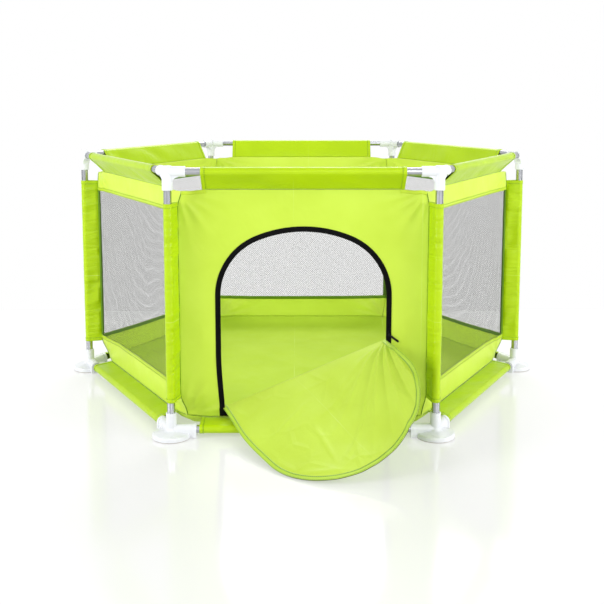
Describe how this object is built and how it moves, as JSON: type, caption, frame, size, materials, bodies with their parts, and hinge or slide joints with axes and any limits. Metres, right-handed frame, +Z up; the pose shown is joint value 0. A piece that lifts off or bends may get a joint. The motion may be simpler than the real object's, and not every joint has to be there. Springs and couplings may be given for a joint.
{
  "type": "playpen",
  "caption": "Hexagonal fabric playpen: a lime cover with mesh walls and an arched zip door, hung by sleeves on a knock-down tube frame with suction feet.",
  "frame": {"origin": "middle of the hexagon, on the underside of the cloth floor, at ground level", "axes": "+Z up, -Y out of the front wall with the door, +X to the right seen from the front"},
  "size_m": [1.374, 1.4325, 0.66],
  "materials": {
    "tube_steel": "bright drawn tube",
    "white_plastic": "smooth moulded",
    "cup_rubber": "soft translucent",
    "cover_cloth": "woven, single layer",
    "sleeve_cloth": "woven, double layer",
    "mesh": "knitted net",
    "zip_tape": "woven tape with coil",
    "zip_metal": "black lacquer"
  },
  "bodies": {
    "pen": {"bottom_rail_1": "tube_steel", "bottom_rail_2": "tube_steel", "bottom_rail_3": "tube_steel", "bottom_rail_4": "tube_steel", "bottom_rail_5": "tube_steel", "bottom_rail_6": "tube_steel", "bottom_sleeve_1": "sleeve_cloth", "bottom_sleeve_2": "sleeve_cloth", "bottom_sleeve_3": "sleeve_cloth", "bottom_sleeve_4": "sleeve_cloth", "bottom_sleeve_5": "sleeve_cloth", "bottom_sleeve_6": "sleeve_cloth", "door_lower": "cover_cloth", "floor_sheet": "cover_cloth", "foot_1": "white_plastic", "foot_2": "white_plastic", "foot_3": "white_plastic", "foot_4": "white_plastic", "foot_5": "white_plastic", "foot_6": "white_plastic", "front_wall": "cover_cloth", "mesh_windows": "mesh", "post_sleeves": "sleeve_cloth", "post_tube_1": "tube_steel", "post_tube_2": "tube_steel", "post_tube_3": "tube_steel", "post_tube_4": "tube_steel", "post_tube_5": "tube_steel", "post_tube_6": "tube_steel", "suction_cups": "cup_rubber", "top_corner_1": "white_plastic", "top_corner_2": "white_plastic", "top_corner_3": "white_plastic", "top_corner_4": "white_plastic", "top_corner_5": "white_plastic", "top_corner_6": "white_plastic", "top_rail_1": "tube_steel", "top_rail_2": "tube_steel", "top_rail_3": "tube_steel", "top_rail_4": "tube_steel", "top_rail_5": "tube_steel", "top_rail_6": "tube_steel", "top_sleeve_1": "sleeve_cloth", "top_sleeve_2": "sleeve_cloth", "top_sleeve_3": "sleeve_cloth", "top_sleeve_4": "sleeve_cloth", "top_sleeve_5": "sleeve_cloth", "top_sleeve_6": "sleeve_cloth", "wall_frame_2": "cover_cloth", "wall_frame_3": "cover_cloth", "wall_frame_4": "cover_cloth", "wall_frame_5": "cover_cloth", "wall_frame_6": "cover_cloth", "zip_tape": "zip_tape"},
    "door_flap": {"door_flap": "cover_cloth", "flap_zip_tape": "zip_tape"},
    "zip_slider": {"zip_slider": "zip_metal"},
    "zip_pull": {"zip_pull": "zip_metal"}
  },
  "joints": [
    {"name": "flap_fold", "type": "hinge", "parent": "pen", "child": "door_flap", "pos_m": [-0.201, -0.50924, 0.05701], "axis": [-0.9177, 0.0084, -0.3971], "range_deg": [0, 111]},
    {"name": "slider_run", "type": "slide", "parent": "pen", "child": "zip_slider", "axis": [0, -0.0212, 0.9998], "range_m": [0, 0.085]},
    {"name": "pull_swing", "type": "hinge", "parent": "zip_slider", "child": "zip_pull", "pos_m": [0.2075, -0.52178, 0.24478], "axis": [-0.6018, 0.0169, -0.7985], "range_deg": [0, 150]}
  ]
}
